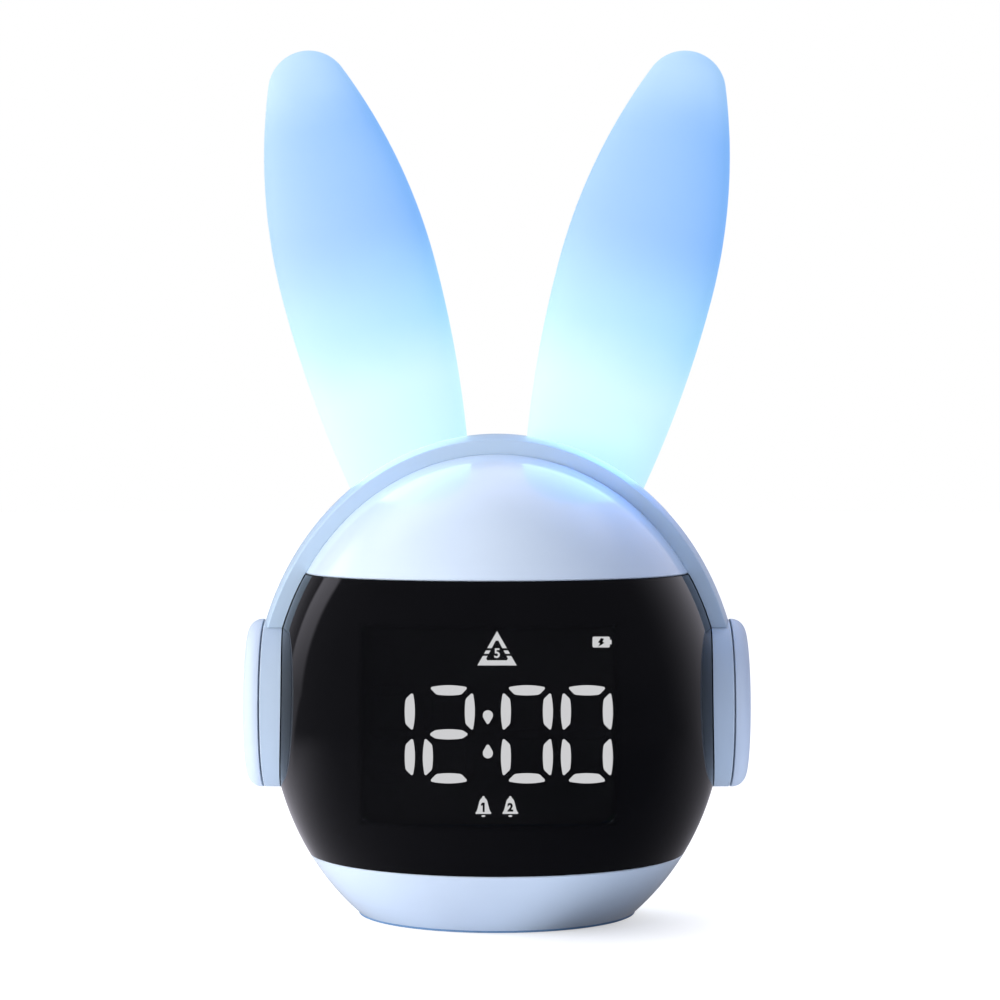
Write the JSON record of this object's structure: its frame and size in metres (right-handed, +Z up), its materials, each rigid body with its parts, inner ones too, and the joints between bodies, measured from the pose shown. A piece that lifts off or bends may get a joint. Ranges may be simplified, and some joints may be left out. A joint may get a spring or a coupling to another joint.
{
  "type": "digital alarm clock with night light",
  "caption": "Ball-shaped bedside digital clock with a wrap-round dark display, headband, ear cups that press as keys, and two tall glowing rabbit ears.",
  "frame": {"origin": "on the table, under the middle of the head", "axes": "+Z up along the head's upright axis, the display looks along -Y, +X to the viewer's right"},
  "size_m": [0.115, 0.103, 0.2001],
  "materials": {
    "shell_blue": "pale blue moulded shell, satin lacquer",
    "band_blue": "pale blue moulded band, fine satin",
    "cup_ring_blue": "pale blue moulded ring, satin",
    "cup_cap_blue": "pale blue moulded cap, satin",
    "base_blue": "pale blue moulded base, fine spark texture",
    "key_blue": "pale blue moulded key, satin",
    "dark_lens": "dark smoked acrylic, polished",
    "black_plastic": "black moulded plastic",
    "lit_white": "white diffuser, lit from behind",
    "dark_diffuser": "tinted diffuser, unlit",
    "circuit_board": "green solder mask",
    "steel": "plain bright steel",
    "screw_steel": "zinc plated",
    "speaker_paper": "coated speaker cone",
    "battery_sleeve": "sleeved can",
    "foot_rubber": "grey-blue silicone, matt",
    "ear_silicone": "milky translucent silicone, soft matt, lit from the foot"
  },
  "bodies": {
    "clock": {"front_shell": "shell_blue", "rear_shell": "shell_blue", "lens": "dark_lens", "display_frame": "black_plastic", "lit_segments": "lit_white", "unlit_segments": "dark_diffuser", "icon_windows": "lit_white", "display_board": "circuit_board", "display_leds": "lit_white", "main_board": "circuit_board", "board_chips": "black_plastic", "key_switches": "black_plastic", "power_switch": "steel", "usb_socket": "steel", "speaker_basket": "black_plastic", "speaker_magnet": "steel", "speaker_cone": "speaker_paper", "battery_cell": "battery_sleeve", "base_plate": "base_blue", "foot_ring": "foot_rubber", "base_screws": "screw_steel", "shell_screws": "screw_steel", "board_screws": "screw_steel", "headband": "band_blue", "cup_ring_right": "cup_ring_blue", "cup_board_right": "circuit_board", "cup_switch_right": "black_plastic", "ear_right": "ear_silicone", "ear_post_right": "black_plastic", "ear_light_board_right": "circuit_board", "ear_leds_right": "lit_white", "cup_ring_left": "cup_ring_blue", "cup_board_left": "circuit_board", "cup_switch_left": "black_plastic", "ear_left": "ear_silicone", "ear_post_left": "black_plastic", "ear_light_board_left": "circuit_board", "ear_leds_left": "lit_white"},
    "light_key_body": {"light_key": "key_blue"},
    "set_key_body": {"set_key": "key_blue"},
    "alarm_key_body": {"alarm_key": "key_blue"},
    "up_key_body": {"up_key": "key_blue"},
    "down_key_body": {"down_key": "key_blue"},
    "power_slider_body": {"power_slider": "key_blue"},
    "left_cap_body": {"cup_cap_left": "cup_cap_blue"},
    "right_cap_body": {"cup_cap_right": "cup_cap_blue"}
  },
  "joints": [
    {"name": "left_cap_press", "type": "slide", "parent": "clock", "child": "left_cap_body", "axis": [1, 0, 0], "range_m": [0, 0.00035], "stiffness_N_per_m": 2000},
    {"name": "right_cap_press", "type": "slide", "parent": "clock", "child": "right_cap_body", "axis": [-1, 0, 0], "range_m": [0, 0.00035], "stiffness_N_per_m": 2000},
    {"name": "light_key_press", "type": "slide", "parent": "clock", "child": "light_key_body", "axis": [0, -1, 0], "range_m": [0, 0.0005], "stiffness_N_per_m": 2000},
    {"name": "set_key_press", "type": "slide", "parent": "clock", "child": "set_key_body", "axis": [0, -1, 0], "range_m": [0, 0.0005], "stiffness_N_per_m": 2000},
    {"name": "alarm_key_press", "type": "slide", "parent": "clock", "child": "alarm_key_body", "axis": [0, -1, 0], "range_m": [0, 0.0005], "stiffness_N_per_m": 2000},
    {"name": "up_key_press", "type": "slide", "parent": "clock", "child": "up_key_body", "axis": [0, -1, 0], "range_m": [0, 0.0005], "stiffness_N_per_m": 2000},
    {"name": "down_key_press", "type": "slide", "parent": "clock", "child": "down_key_body", "axis": [0, -1, 0], "range_m": [0, 0.0005], "stiffness_N_per_m": 2000},
    {"name": "power_slide", "type": "slide", "parent": "clock", "child": "power_slider_body", "axis": [-1, 0, 0], "range_m": [0, 0.002]}
  ]
}
